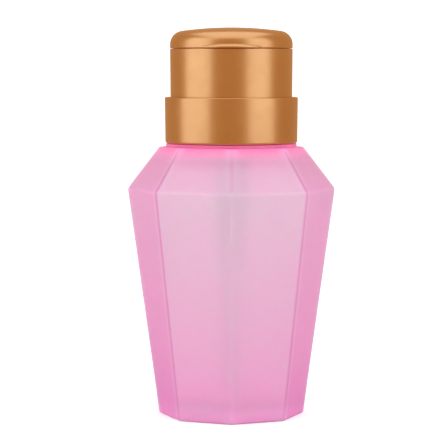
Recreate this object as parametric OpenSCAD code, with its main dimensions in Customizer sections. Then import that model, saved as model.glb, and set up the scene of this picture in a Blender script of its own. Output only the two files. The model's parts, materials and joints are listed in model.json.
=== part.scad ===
// Press-top dispenser bottle with a flip lid: a faceted bottle, a screw closure with a gold shell, and
// a press head that a cotton pad pushes down to work the pump below it. All sizes are in millimetres.
// The origin is the centre of the foot, +Z is up, and the lid's thumb tab faces -Y.

/* [Bottle] */
// Width across the corners of the widest section
belt_w = 70.2; // [66:0.2:76]
// Width across the corners of the foot
foot_w = 49.2; // [46:0.2:54]
// Width across the corners of the shoulder's flat top
shoulder_w = 48.8; // [48:0.2:54]
// Height of the widest section above the foot
belt_z = 76.5; // [72:0.5:80]
// Height of the shoulder's flat top above the foot
shoulder_z = 90.5; // [88:0.5:94]
// Thickness of the bottle's wall
wall = 1.2; // [0.9:0.1:1.6]
// Depth of the hollow under the foot
foot_hollow = 2; // [1:0.5:3]

/* [Neck and thread] */
// Radius of the neck's bore
neck_bore_r = 13.5; // [13:0.1:13.8]
// Outer radius of the neck between the threads
neck_r = 15; // [14.9:0.05:15.1]
// Height of the neck above the shoulder
neck_h = 12; // [11.5:0.5:12.5]
// Rise of the thread in one turn
pitch = 4.23; // [4.1:0.01:4.4]
// Turns that the collar makes before it comes off
unscrew_turns = 1.25; // [1:0.05:1.3]

/* [Closure] */
// Outer radius of the gold collar
collar_r = 22.4; // [22.2:0.1:23]
// Height of the gold collar
collar_h = 15.4; // [15:0.1:16]
// Thickness of the collar's wall
collar_wall = 1.45; // [1.2:0.05:1.5]

/* [Press head] */
// Outer radius of the press sleeve at its top
head_r = 20.6; // [20.4:0.05:20.65]
// How much the sleeve's radius narrows towards its foot
head_draft = 0.15; // [0:0.05:0.3]
// Height of the joint line between the sleeve and the lid, above the foot
seam_z = 123.5; // [123:0.5:125]
// How far the head travels when it is pressed
stroke = 10; // [7:0.5:10]

/* [Lid] */
// Height of the lid above the joint line
lid_h = 7; // [6.6:0.1:8]
// Width of the thumb tab
tab_w = 20; // [14:1:24]
// How far the thumb tab stands out from the lid
tab_out = 1.2; // [0.8:0.1:1.6]

/* [Pump] */
// Radius of the pump's bore
bore_r = 4.6; // [4.4:0.1:4.8]
// Radius of the stem
stem_r = 3; // [2.9:0.05:3.1]
// Radius of the dip tube
tube_r = 2.5; // [2.3:0.1:2.6]
// Height of the housing's lower end above the foot
housing_end_z = 54; // [50:1:56]
// Turns in the return spring
spring_turns = 7; // [5:1:9]

/* [Hidden] */
$fn = 96;

// Colours
PINK = [0.93, 0.62, 0.79];
GOLD = [0.80, 0.55, 0.30];
NATURAL = [0.93, 0.93, 0.91];
STEEL = [0.72, 0.73, 0.75];
SEAL = [0.86, 0.86, 0.84];

// Small gaps
eps = 0.01;          // overlap that makes a cut run clean through a face
seat_gap = 0.02;     // between a valve ball and its seat
stop_gap = 0.1;      // between a moving piece and the stop that it rests on
seam_gap = 0.1;      // between the sleeve's rim and the lid's rim
running_gap = 0.05;  // between a shaft and its hole

// Bottle
belt_r = belt_w / 2;
foot_r = foot_w / 2;
shoulder_r = shoulder_w / 2;
low_rise = (belt_r - foot_r) / belt_z;                        // how fast the body widens going up
high_rise = (belt_r - shoulder_r) / (shoulder_z - belt_z);    // how fast the shoulder narrows going up
flat_half = 180 / 8;                                          // half the angle that one flat spans
low_inset = wall / cos(flat_half) * sqrt(1 + low_rise ^ 2);   // the wall's thickness along a corner's radius
high_inset = wall / cos(flat_half) * sqrt(1 + high_rise ^ 2);
floor_z = 1.6;
cavity_top_z = shoulder_z - wall;
cavity_belt_z = belt_z - (high_inset - low_inset) / (low_rise + high_rise);
hollow_r = 17;       // mouth of the hollow under the foot
hollow_slope = 4;    // how much the hollow narrows on its way up
step_r = 22;         // the round step on the shoulder, under the collar
step_h = 1.2;        // height of that step

// Neck and thread
lip_z = shoulder_z + neck_h;
crest_r = neck_r + 1;
thread_steps = 32;   // flats in one turn of a thread
neck_thread_z = shoulder_z + 3.1;
neck_thread_turns = 1.5;
thread_flank = 1.1;  // half the width of a ridge at its root
thread_tip = 0.45;   // half the width of a ridge at its crest
thread_lift = 0.6;   // how far the collar's ridge sits above the middle of the neck's groove

// Closure, from the lip up
gasket_t = 1;
gasket_bore_r = 12;
flange_t = 1.2;
flange_r = neck_r - 0.2;
flange_z = lip_z + gasket_t;
cap_ceiling_z = flange_z + flange_t;
cap_web = 1.5;
cap_z = shoulder_z + step_h + stop_gap;
cap_top_z = cap_ceiling_z + cap_web;
cap_bore_r = crest_r + 0.35;
cap_crest_r = neck_r + 0.3;
cap_sleeve_r = cap_bore_r + 1.85;
cap_hole_r = 7;
cap_foot_z = cap_z + 0.7;
cap_foot_t = 1.2;
collar_bore_r = collar_r - collar_wall;
collar_round = 1.1;  // rounding of the collar's lower edge
collar_draft = 0.2;  // how much the collar narrows towards its foot

// Press head
sleeve_t = 1.3;
sleeve_foot_z = cap_foot_z + cap_foot_t + stroke + stop_gap;
sleeve_top_z = seam_z - seam_gap;
sleeve_bore_r = head_r - sleeve_t;
dish_floor_z = seam_z - 4.3;
dish_rim_z = seam_z - 1.5;
dish_t = 1.2;
dish_rim_h = 2.7;     // depth of the dish's upright rim
dish_boss_r = 5;      // the boss that holds the stem
dish_boss_z = dish_floor_z - dish_t - 1.4;
bowl_r = 17.6;        // edge of the bowl's curved floor
bowl_rise = 2;        // how far the floor climbs to that edge
nozzle_top_z = seam_z - 1.9;
nozzle_bore_r = 0.8;
button_r = 4.2;

// Lid
lid_top_t = 1.3;
lid_wall = 1.2;
dome_rise = 1.15;    // how much the lid's top bulges between its rounded edges
lid_round = 4.5;     // rounding of the lid's upper edge
arm_top_z = seam_z + 3;     // top of the arm that joins the knuckle to the lid
lid_top_z = seam_z + lid_h;
plug_r = 2.2;        // the soft plug's stalk, in the lid's boss
plug_z = seam_z - 0.5;
plug_top_z = seam_z + 2.5;

// Hinge
hinge_y = head_r - 1;
hinge_z = seam_z + 0.8;
pin_r = 0.6;
knuckle_r = 1.35;
barrel_half = 3.5;   // half the length of the lid's knuckle
ear_in = 3.7;        // inner and outer faces of the sleeve's ears
ear_out = 6.4;
notch_half = 6.9;    // half the width of the gap in the lid's back
knuckle_room = 8;    // depth of the cut that the lid's knuckle turns in

// Pump, from the top down
guide_foot_z = seam_z - 27.4;
piston_top_z = guide_foot_z - stop_gap;
piston_h = 4.7;
piston_z = piston_top_z - piston_h;
piston_bore_r = 2.4;
stem_z = piston_z - 0.8;
stem_top_z = dish_floor_z + 0.7;
stem_bore_r = 1.1;
outlet_seat_z = seam_z - 8.5;
outlet_chamber_r = 1.9;
outlet_ball_r = 1.5;
outlet_travel = 0.8;
outlet_ball_z = outlet_seat_z + sqrt(outlet_ball_r ^ 2 - stem_bore_r ^ 2) + seat_gap;
wiper_r = 4;          // the soft ring round the stem, and its seat
wiper_z = cap_top_z - 1.1;
barrel_r = bore_r + 1;
step_z = housing_end_z + 16;   // where the housing's wide bore ends
cage_t = 1;
inlet_ball_r = 2;
inlet_hole_r = 1.4;
inlet_chamber_r = 2.6;
throat_r = inlet_chamber_r + 1.2;   // the housing round the inlet ball
rib_t = 1;           // the webs under the housing's flange
rib_h = 4;
rib_reach = 3;
cage_bore_r = 1.3;
inlet_seat_z = housing_end_z + 7.5;
inlet_travel = 1.2;
inlet_ball_z = inlet_seat_z + sqrt(inlet_ball_r ^ 2 - inlet_hole_r ^ 2) + seat_gap;
tube_top_z = housing_end_z + 6;
tube_z = floor_z + foot_hollow + 2;
tube_bore_r = tube_r - 0.75;
wire_r = 0.35;
spring_r = 3.3;
spring_z = step_z + cage_t;

// One solid through a list of rings that all have the same number of points
module swept(rings) {
    sides = len(rings[0]);
    last = len(rings) - 1;
    points = [for (ring = rings) each ring];
    start_cap = [for (k = [1:sides - 2]) [0, k + 1, k]];
    end_cap = [for (k = [1:sides - 2]) [last * sides, last * sides + k, last * sides + k + 1]];
    skin = [
        for (i = [0:last - 1]) for (k = [0:sides - 1])
            let (a = i * sides + k, b = i * sides + (k + 1) % sides)
            each [[a, b, a + sides], [b, b + sides, a + sides]]
    ];
    polyhedron(points = points, faces = concat(start_cap, skin, end_cap), convexity = 8);
}

// A helical ridge from root_r to tip_r, which fades in and out at its ends
module thread_ridge(root_r, tip_r, flank, tip, from, turns, z) {
    count = ceil(turns * thread_steps);
    rings = [
        for (i = [0:count])
            let (
                angle = from + 360 * turns * i / count,
                height = z + pitch * turns * i / count,
                fade = min(1, 0.15 + 6 * min(i, count - i) / thread_steps),
                r = root_r + (tip_r - root_r) * fade,
                side = sign(tip_r - root_r),
                corners = [[root_r, -flank], [r, -tip * fade], [r, tip * fade], [root_r, flank]]
            )
            [for (c = side > 0 ? corners : [for (k = [3:-1:0]) corners[k]])
                [c[0] * cos(angle), c[0] * sin(angle), height + c[1]]]
    ];
    swept(rings);
}

// An eight-sided block whose corners are r1 from the axis at its foot and r2 at its top
module octagon(r1, r2, z1, z2) {
    translate([0, 0, z1]) cylinder(r1 = r1, r2 = r2, h = z2 - z1, $fn = 8);
}

// A ring with a square section
module tube(outer, inner, z1, z2) {
    translate([0, 0, z1]) difference() {
        cylinder(r = outer, h = z2 - z1);
        translate([0, 0, -eps]) cylinder(r = inner, h = z2 - z1 + 2 * eps);
    }
}

// A disc
module disc(r, z1, z2) {
    translate([0, 0, z1]) cylinder(r = r, h = z2 - z1);
}

// A straight rod along X, centred on the YZ plane
module rod_x(r, half, y, z) {
    translate([-half, y, z]) rotate([0, 90, 0]) cylinder(r = r, h = 2 * half);
}

// A quarter circle of points from one angle to another
function arc(cx, cy, r, a1, a2, steps = 6) =
    [for (i = [0:steps]) let (a = a1 + (a2 - a1) * i / steps) [cx + r * cos(a), cy + r * sin(a)]];

// The blown bottle, with its neck and thread
module bottle() {
    color(PINK) difference() {
        union() {
            octagon(foot_r, belt_r, 0, belt_z);
            octagon(belt_r, shoulder_r, belt_z, shoulder_z);
            disc(step_r, shoulder_z - eps, shoulder_z + step_h);
            disc(neck_r, shoulder_z - wall, lip_z);
            thread_ridge(neck_r - 0.4, crest_r, thread_flank, thread_tip,
                         0, neck_thread_turns, neck_thread_z);
        }
        bottle_cavity();
        disc(neck_bore_r, cavity_top_z - eps, lip_z + eps);
        translate([0, 0, -eps])
            cylinder(r1 = hollow_r, r2 = hollow_r - hollow_slope, h = foot_hollow + eps);
    }
}

module bottle_cavity() {
    difference() {
        union() {
            octagon(foot_r + low_rise * floor_z - low_inset, foot_r + low_rise * cavity_belt_z - low_inset,
                    floor_z, cavity_belt_z);
            octagon(foot_r + low_rise * cavity_belt_z - low_inset, shoulder_r + high_rise * wall - high_inset,
                    cavity_belt_z, cavity_top_z);
        }
        translate([0, 0, floor_z - eps])
            cylinder(r1 = hollow_r + 1, r2 = hollow_r + 1 - hollow_slope, h = foot_hollow + eps);
    }
}

// The foam washer between the lip and the pump's flange
module neck_gasket() {
    color(SEAL) tube(cap_crest_r - 0.1, gasket_bore_r, lip_z, flange_z);
}

// The pump's body: a flange on the lip, a wide bore for the piston, and a narrow one for the inlet ball
module pump_housing() {
    color(NATURAL) difference() {
        union() {
            disc(flange_r, flange_z, cap_ceiling_z);
            disc(barrel_r, step_z - 1, flange_z + eps);
            translate([0, 0, step_z - 3]) cylinder(r1 = throat_r, r2 = barrel_r, h = 2);
            disc(throat_r, housing_end_z, step_z - 3 + eps);
            for (turn = [0:90:270]) rotate(turn) housing_rib();
        }
        disc(bore_r, step_z, cap_ceiling_z + eps);
        disc(inlet_chamber_r, inlet_seat_z + 1, step_z + eps);
        translate([0, 0, inlet_seat_z])
            cylinder(r1 = inlet_hole_r, r2 = inlet_chamber_r, h = 1 + eps);
        disc(inlet_hole_r, tube_top_z - eps, inlet_seat_z + eps);
        disc(tube_r, housing_end_z - eps, tube_top_z);
    }
}

// One of the webs that stiffen the flange from below, inside the bottle's mouth
module housing_rib() {
    sunk = 0.4;
    translate([barrel_r - sunk, -rib_t / 2, flange_z - rib_h]) cube([rib_reach + sunk, rib_t, rib_h + eps]);
}

// The snap-in cap that closes the housing and guides the stem
module stem_guide() {
    color(NATURAL) difference() {
        union() {
            disc(bore_r, guide_foot_z, cap_ceiling_z);
            disc(cap_hole_r - 0.2, cap_ceiling_z, cap_top_z - 0.1);
        }
        disc(stem_r + running_gap, guide_foot_z - eps, cap_top_z);
        disc(wiper_r, wiper_z, cap_top_z);
    }
}

// The soft ring that wipes the stem
module stem_wiper() {
    color(SEAL) tube(wiper_r, stem_r + 0.03, wiper_z, cap_top_z - 0.2);
}

// The insert that carries the spring and keeps the inlet ball near its seat
module ball_cage() {
    cage_z = inlet_ball_z + inlet_ball_r + inlet_travel + stop_gap;
    slot = 1;
    color(NATURAL) difference() {
        union() {
            disc(bore_r - 0.05, step_z, step_z + cage_t);
            disc(inlet_chamber_r - 0.05, cage_z, step_z + eps);
        }
        disc(cage_bore_r, cage_z - eps, step_z + cage_t + eps);
        for (turn = [0, 90]) rotate(turn)
            translate([-3 * slot, -slot / 2, cage_z - eps]) cube([6 * slot, slot, slot]);
    }
}

module inlet_ball() {
    color(STEEL) translate([0, 0, inlet_ball_z]) sphere(r = inlet_ball_r);
}

// The suction tube, cut at a slant so that it can't seal itself against the floor
module dip_tube() {
    end_slant = 30;
    cutter = 20;
    color(NATURAL) difference() {
        tube(tube_r, tube_bore_r, tube_z, tube_top_z);
        translate([0, 0, tube_z + tube_r]) rotate([0, end_slant, 0])
            translate([-cutter / 2, -cutter / 2, -cutter]) cube(cutter);
    }
}

// Height of the spring's wire along its length: two closed coils at the ends and open ones between
function spring_rise(t, length) =
    let (closed = 0.12)
    t < closed ? wire_r * 2 * t / closed :
    t > 1 - closed ? length - wire_r * 2 * (1 - t) / closed :
    wire_r * 2 + (length - wire_r * 4) * (t - closed) / (1 - 2 * closed);

module return_spring() {
    coil_steps = 18;
    wire_sides = 6;
    count = spring_turns * coil_steps;
    length = piston_z - spring_z - 2 * wire_r;
    color(STEEL) swept([
        for (i = [0:count])
            let (angle = 360 * i / coil_steps, z = spring_z + wire_r + spring_rise(i / count, length))
            [for (k = [0:wire_sides - 1])
                let (r = spring_r + wire_r * cos(360 * k / wire_sides))
                [r * cos(angle), r * sin(angle), z + wire_r * sin(360 * k / wire_sides)]]
    ]);
}

// The plunger, with a sealing lip at each end
module piston() {
    lip = 1;
    color(SEAL) difference() {
        union() {
            disc(bore_r - 0.03, piston_z, piston_z + lip);
            disc(bore_r - 0.7, piston_z, piston_top_z);
            disc(bore_r - 0.03, piston_top_z - lip, piston_top_z);
        }
        disc(piston_bore_r, piston_z - eps, piston_top_z + eps);
    }
}

// The hollow rod between the piston and the dish, with the outlet ball's seat near its top
module stem() {
    color(NATURAL) difference() {
        union() {
            disc(stem_r, piston_top_z, stem_top_z);
            disc(piston_bore_r, stem_z, piston_top_z + eps);
            translate([0, 0, stem_z]) cylinder(r1 = piston_bore_r, r2 = piston_bore_r + 0.3, h = 0.8);
        }
        disc(stem_bore_r, stem_z - eps, outlet_seat_z + eps);
        translate([0, 0, outlet_seat_z])
            cylinder(r1 = stem_bore_r, r2 = outlet_chamber_r, h = 0.8);
        disc(outlet_chamber_r, outlet_seat_z + 0.8 - eps, stem_top_z + eps);
    }
}

module outlet_ball() {
    color(STEEL) translate([0, 0, outlet_ball_z]) sphere(r = outlet_ball_r);
}

// The button in the middle of the dish that the liquid wells out of
module outlet_nozzle() {
    foot_z = outlet_ball_z + outlet_ball_r + outlet_travel + stop_gap;
    button_z = dish_floor_z + 0.7;
    slot = [2 * outlet_chamber_r + 0.2, 0.8, 0.6];
    color(NATURAL) difference() {
        union() {
            disc(outlet_chamber_r - 0.02, foot_z, button_z + 0.2);
            translate([0, 0, button_z])
                cylinder(r1 = button_r, r2 = button_r - 0.8, h = nozzle_top_z - button_z);
        }
        disc(nozzle_bore_r, foot_z - eps, nozzle_top_z + eps);
        translate([-slot[0] / 2, -slot[1] / 2, foot_z - eps]) cube(slot);
    }
}

// The shallow bowl that the pad lies on, with drain grooves that lead spilt liquid back to the middle
module press_dish() {
    drain_w = 0.6;
    profile = concat(
        [[0, dish_floor_z - dish_t], [11, dish_floor_z - dish_t]],
        [[bowl_r - 0.4, dish_rim_z - dish_rim_h], [sleeve_bore_r, dish_rim_z - dish_rim_h]],
        [[sleeve_bore_r, dish_rim_z], [sleeve_bore_r - 1, dish_rim_z]],
        [for (i = [0:8]) let (r = bowl_r - (bowl_r - dish_boss_r) * i / 8)
            [r, dish_floor_z + bowl_rise * ((r - dish_boss_r) / (bowl_r - dish_boss_r)) ^ 2]],
        [[0, dish_floor_z]]
    );
    color(NATURAL) difference() {
        union() {
            rotate_extrude() polygon(profile);
            disc(dish_boss_r, dish_boss_z, stem_top_z);
            for (turn = [0:45:315]) rotate(turn) dish_rib();
        }
        disc(stem_r, dish_boss_z - eps, stem_top_z);
        disc(outlet_chamber_r, stem_top_z - eps, stem_top_z + 0.3);
        for (turn = [22.5:45:337.5]) rotate(turn)
            translate([dish_boss_r + 0.4, -drain_w / 2, dish_floor_z - 0.35]) cube([5, drain_w, bowl_rise]);
    }
}

module dish_rib() {
    translate([dish_boss_r - 0.5, -rib_t / 2, dish_boss_z])
        cube([12.5, rib_t, dish_floor_z - dish_t - dish_boss_z + eps]);
}

// The gold barrel of the press head, which slides down inside the collar
module press_sleeve() {
    foot_r = head_r - head_draft;
    ledge_z = dish_rim_z - dish_rim_h;   // the dish snaps on to this ledge
    profile = [
        [foot_r - sleeve_t, sleeve_foot_z + 0.5], [foot_r - sleeve_t + 0.4, sleeve_foot_z],
        [foot_r, sleeve_foot_z], [head_r, sleeve_top_z - 0.25], [head_r - 0.25, sleeve_top_z],
        [sleeve_bore_r + 0.3, sleeve_top_z], [sleeve_bore_r, sleeve_top_z - 0.3],
        [sleeve_bore_r, ledge_z], [sleeve_bore_r - 1.2, ledge_z],
        [sleeve_bore_r - 1.2, ledge_z - 1], [sleeve_bore_r - 0.1, ledge_z - 2.1]
    ];
    color(GOLD) difference() {
        union() {
            rotate_extrude() polygon(profile);
            for (side = [-1, 1]) ear(side);
        }
        translate([-ear_in, hinge_y - knuckle_room / 2, sleeve_top_z - 1])
            cube([2 * ear_in, knuckle_room, 4]);
        rod_x(pin_r, ear_out + 1, hinge_y, hinge_z);
    }
}

// One of the two ears that hold the hinge pin
module ear(side) {
    x = side > 0 ? ear_in : -ear_out;
    translate([x, hinge_y, hinge_z]) rotate([0, 90, 0]) cylinder(r = knuckle_r, h = ear_out - ear_in);
    intersection() {
        translate([x, hinge_y - knuckle_r, dish_rim_z + 0.1])
            cube([ear_out - ear_in, 2 * knuckle_r, hinge_z - dish_rim_z - 0.1]);
        disc(head_r, 0, hinge_z);
    }
}

module hinge_pin() {
    color(STEEL) rod_x(pin_r, ear_out, hinge_y, hinge_z);
}

// Outline of the lid from the middle of its top, out and down to its rim
function lid_outline(r, top, round, rise) =
    let (
        tilt = atan(2 * rise / (r - round)),
        edge = r - round + round * sin(tilt)
    )
    concat(
        [for (i = [0:5]) let (x = edge * i / 6) [x, top - rise * (x / edge) ^ 2]],
        arc(r - round, top - rise - round * cos(tilt), round, 90 - tilt, 0, 8)
    );

// The gold flip lid, with a lip that drops into the dish and a boss that holds the soft plug
module flip_lid() {
    lip_r = sleeve_bore_r - 0.2;
    lip_top_z = seam_z + 1.4;
    color(GOLD) difference() {
        union() {
            difference() {
                union() {
                    rotate_extrude() polygon(concat(
                        lid_outline(head_r, lid_top_z, lid_round, dome_rise),
                        [[head_r, seam_z + 0.25], [head_r - 0.25, seam_z], [0, seam_z]]
                    ));
                    thumb_tab();
                }
                rotate_extrude() polygon(concat(
                    lid_outline(head_r - lid_wall, lid_top_z - lid_top_t, lid_round - lid_wall, dome_rise),
                    [[head_r - lid_wall, seam_z - 1], [0, seam_z - 1]]
                ));
            }
            tube(lip_r, lip_r - 1, seam_z - 1, lip_top_z);
            tube(head_r - lid_wall + eps, lip_r - 1, lip_top_z - 1, lip_top_z);
            disc(plug_r + 1, plug_z, lid_top_z - lid_top_t);
        }
        translate([-notch_half, hinge_y - 2.7, seam_z - 2]) cube([2 * notch_half, 6, 4.7]);
        disc(plug_r, seam_z - 1, plug_top_z);
    }
    color(GOLD) lid_knuckle();
}

// The crescent that a thumb lifts the lid by
module thumb_tab() {
    chord_y = sqrt(head_r ^ 2 - (tab_w / 2) ^ 2);
    sag = head_r + tab_out - chord_y;
    r = ((tab_w / 2) ^ 2 + sag ^ 2) / (2 * sag);
    edge_h = 0.4;
    slope_h = 1.1;
    translate([0, r - head_r - tab_out, seam_z]) {
        cylinder(r = r, h = edge_h);
        translate([0, 0, edge_h]) cylinder(r1 = r, r2 = r - tab_out - 0.2, h = slope_h);
    }
}

// The lid's half of the hinge: a barrel round the pin, and an arm up to the lid
module lid_knuckle() {
    difference() {
        union() {
            rod_x(knuckle_r, barrel_half, hinge_y, hinge_z);
            translate([-barrel_half, hinge_y - 1.6, hinge_z])
                cube([2 * barrel_half, 1.9, arm_top_z - hinge_z]);
        }
        rod_x(pin_r + running_gap, barrel_half + 1, hinge_y, hinge_z);
    }
}

// The soft plug that closes the nozzle while the lid is shut
module lid_seal() {
    color(SEAL) {
        disc(plug_r, plug_z - eps, plug_top_z);
        disc(button_r - 0.6, nozzle_top_z + stop_gap, plug_z);
        disc(nozzle_bore_r - 0.2, nozzle_top_z - 0.7, nozzle_top_z + stop_gap + eps);
    }
}

// The threaded cap inside the gold collar
module screw_cap() {
    ridge_z = neck_thread_z - pitch / 2 + thread_lift;
    first = neck_thread_turns - unscrew_turns;
    color(NATURAL) {
        difference() {
            union() {
                disc(cap_sleeve_r, cap_z, cap_top_z);
                disc(collar_bore_r, cap_foot_z, cap_foot_z + cap_foot_t);
            }
            disc(cap_bore_r, cap_z - eps, cap_ceiling_z);
            disc(cap_hole_r, cap_ceiling_z - eps, cap_top_z + eps);
        }
        thread_ridge(cap_bore_r + 0.4, cap_crest_r, thread_flank - 0.1, thread_tip - 0.05,
                     360 * first, unscrew_turns, ridge_z + pitch * first);
    }
}

// The gold shell round the screw cap
module collar_shell() {
    top_z = cap_z + collar_h;
    color(GOLD) rotate_extrude() polygon(concat(
        [[collar_bore_r - 0.8, cap_z], [collar_r - collar_draft - collar_round, cap_z]],
        arc(collar_r - collar_draft - collar_round, cap_z + collar_round, collar_round, -72, 0, 4),
        [
            [collar_r, top_z - 0.3], [collar_r - 0.3, top_z], [collar_bore_r + 0.3, top_z],
            [collar_bore_r, top_z - 0.3], [collar_bore_r, cap_foot_z], [collar_bore_r - 0.8, cap_foot_z]
        ]
    ));
}

bottle();
neck_gasket();
pump_housing();
stem_guide();
stem_wiper();
ball_cage();
inlet_ball();
dip_tube();
return_spring();
piston();
stem();
outlet_ball();
outlet_nozzle();
press_dish();
press_sleeve();
hinge_pin();
flip_lid();
lid_seal();
screw_cap();
collar_shell();
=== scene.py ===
# %% [markdown]
# # A press-top dispenser bottle
# This lesson dresses a small dispenser: a frosted pink bottle with eight flat sides, and a satin gold
# head that a cotton pad is pressed down on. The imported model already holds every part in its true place,
# so each new piece is built at the same size and then rides on the same body as the part it stands for.

# %% Load the frame
import json
import math

import bpy
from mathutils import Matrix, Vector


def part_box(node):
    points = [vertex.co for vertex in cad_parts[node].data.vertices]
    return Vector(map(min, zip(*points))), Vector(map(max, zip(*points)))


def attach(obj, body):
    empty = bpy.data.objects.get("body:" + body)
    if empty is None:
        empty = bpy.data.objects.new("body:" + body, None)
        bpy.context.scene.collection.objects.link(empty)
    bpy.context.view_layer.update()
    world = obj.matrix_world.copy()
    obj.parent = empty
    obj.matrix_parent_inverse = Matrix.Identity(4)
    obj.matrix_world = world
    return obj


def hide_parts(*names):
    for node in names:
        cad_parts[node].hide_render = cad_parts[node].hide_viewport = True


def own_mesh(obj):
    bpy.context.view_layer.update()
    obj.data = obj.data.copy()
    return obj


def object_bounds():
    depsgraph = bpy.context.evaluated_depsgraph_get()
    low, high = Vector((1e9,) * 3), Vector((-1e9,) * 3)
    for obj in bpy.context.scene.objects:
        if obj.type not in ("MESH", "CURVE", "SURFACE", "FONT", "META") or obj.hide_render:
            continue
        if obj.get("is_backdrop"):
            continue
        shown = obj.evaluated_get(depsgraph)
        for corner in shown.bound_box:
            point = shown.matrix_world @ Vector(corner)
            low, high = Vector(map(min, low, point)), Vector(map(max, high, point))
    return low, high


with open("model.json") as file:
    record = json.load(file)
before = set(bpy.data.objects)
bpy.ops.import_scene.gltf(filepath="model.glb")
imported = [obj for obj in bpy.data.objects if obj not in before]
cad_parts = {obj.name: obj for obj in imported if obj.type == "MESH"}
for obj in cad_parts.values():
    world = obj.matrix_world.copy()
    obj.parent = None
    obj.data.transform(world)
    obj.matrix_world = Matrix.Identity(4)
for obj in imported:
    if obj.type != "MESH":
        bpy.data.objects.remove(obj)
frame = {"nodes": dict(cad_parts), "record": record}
cad_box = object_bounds()
MM = 0.001
print("CAD box", cad_box)
for name in frame["nodes"]:
    low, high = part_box(name)
    print(f"{name:14s} z {low[2] / MM:6.1f} to {high[2] / MM:6.1f} mm, reach {high[0] / MM:5.2f} mm")


# %% [markdown]
# ## Working by hand, in code
# Every modelling operator acts on whatever is selected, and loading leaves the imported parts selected.
# So the first helper clears the selection, and the last one bakes a piece's place into its mesh. A few
# more wrap the moves that a lathe, a saw or a file would make. Writing vertices straight into a mesh
# would be shorter, but these are the same steps that a modeller takes in the window.

# %% Helpers for modelling
def clear_selection():
    if bpy.context.mode != "OBJECT":
        bpy.ops.object.mode_set(mode="OBJECT")
    bpy.ops.object.select_all(action="DESELECT")


def settle(obj, name, angle=40):
    """Names the piece, puts its place into its mesh, and shades it smooth up to that angle."""
    clear_selection()
    bpy.context.view_layer.objects.active = obj
    obj.select_set(True)
    bpy.ops.object.transform_apply(location=True, rotation=True, scale=True)
    bpy.ops.object.shade_smooth_by_angle(angle=math.radians(angle))
    obj.name = obj.data.name = name
    print(f"{name}: {len(obj.data.vertices)} vertices, {len(obj.data.polygons)} faces")
    return obj


def apply_modifier(obj, kind, **settings):
    clear_selection()
    bpy.context.view_layer.objects.active = obj
    obj.select_set(True)
    modifier = obj.modifiers.new(kind.title(), kind)
    for key, value in settings.items():
        setattr(modifier, key, value)
    bpy.ops.object.modifier_apply(modifier=modifier.name)


def cut_or_add(obj, tool, operation):
    """Cuts the tool out of the piece, or fuses it on, and throws the tool away."""
    apply_modifier(obj, "BOOLEAN", object=tool, operation=operation, solver="EXACT")
    bpy.data.objects.remove(tool)


def mend(threshold=0.001):
    """In edit mode: closes doubled points and turns every face outwards."""
    bpy.ops.mesh.select_all(action="SELECT")
    bpy.ops.mesh.remove_doubles(threshold=threshold * MM)
    bpy.ops.mesh.normals_make_consistent(inside=False)


def softened(corners, steps=5):
    """An outline of (radius, height, rounding) corners in millimetres, with each corner rounded."""
    outline = []
    for i, (r, z, ease) in enumerate(corners):
        if ease <= 0:
            outline.append((r, z))
            continue
        ends = []
        for other in (corners[i - 1], corners[(i + 1) % len(corners)]):
            dr, dz = other[0] - r, other[1] - z
            reach = min(ease / math.hypot(dr, dz), 0.48)
            ends.append((r + dr * reach, z + dz * reach))
        for k in range(steps + 1):
            t = k / steps
            a, b, c = (1 - t) ** 2, 2 * t * (1 - t), t * t
            outline.append((a * ends[0][0] + b * r + c * ends[1][0], a * ends[0][1] + b * z + c * ends[1][1]))
    return outline


def turned(outline, sides=128, closed=True):
    """A turned piece: one circle is drawn up and scaled from ring to ring, in millimetres."""
    clear_selection()
    axis = 0.004
    rings = [(max(r, axis), z) for r, z in outline]
    if closed and rings[0] != rings[-1]:
        rings.append(rings[0])
    r, z = rings[0]
    bpy.ops.mesh.primitive_circle_add(vertices=sides, radius=r * MM, location=(0, 0, z * MM))
    obj = bpy.context.object
    bpy.ops.object.mode_set(mode="EDIT")
    bpy.ops.mesh.select_all(action="SELECT")
    for r_next, z_next in rings[1:]:
        bpy.ops.mesh.extrude_region_move(TRANSFORM_OT_translate={"value": (0, 0, (z_next - z) * MM)})
        scale = r_next / r
        bpy.ops.transform.resize(value=(scale, scale, 1), center_override=(0, 0, z_next * MM))
        r, z = r_next, z_next
    mend(threshold=0.01)
    bpy.ops.object.mode_set(mode="OBJECT")
    bpy.ops.object.transform_apply(location=True)
    return obj


def block(x, y, z):
    """A rectangular cutter between two x, two y and two z, in millimetres."""
    clear_selection()
    middle = [(a + b) / 2 * MM for a, b in (x, y, z)]
    bpy.ops.mesh.primitive_cube_add(size=1, location=middle)
    obj = bpy.context.object
    bpy.ops.transform.resize(value=[(b - a) * MM for a, b in (x, y, z)])
    bpy.ops.object.transform_apply(location=True, scale=True)
    return obj


def rod(radius, x, y, z, rounding=0.2, sides=32):
    """A rod along X between two x, with rounded ends, in millimetres."""
    clear_selection()
    middle = ((x[0] + x[1]) / 2 * MM, y * MM, z * MM)
    bpy.ops.mesh.primitive_cylinder_add(vertices=sides, radius=radius * MM, depth=(x[1] - x[0]) * MM,
                                        location=middle, rotation=(0, math.pi / 2, 0))
    obj = bpy.context.object
    bpy.ops.object.transform_apply(location=True, rotation=True)
    if rounding:
        apply_modifier(obj, "BEVEL", width=rounding * MM, segments=3, limit_method="ANGLE", angle_limit=1.0)
    return obj


# %% [markdown]
# ## Selecting by place
# Points of the bottle are picked by where they are, because that stays true when the mesh changes.

# %% Helpers for picking points and edges
def pick_points(obj, test):
    """In edit mode: selects the points whose (x, y, z) in millimetres passes the test."""
    bpy.ops.mesh.select_mode(type="VERT")
    bpy.ops.mesh.select_all(action="DESELECT")
    bpy.ops.object.mode_set(mode="OBJECT")
    count = 0
    for vertex in obj.data.vertices:
        vertex.select = test(*[c / MM for c in vertex.co])
        count += vertex.select
    bpy.ops.object.mode_set(mode="EDIT")
    return count


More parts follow.
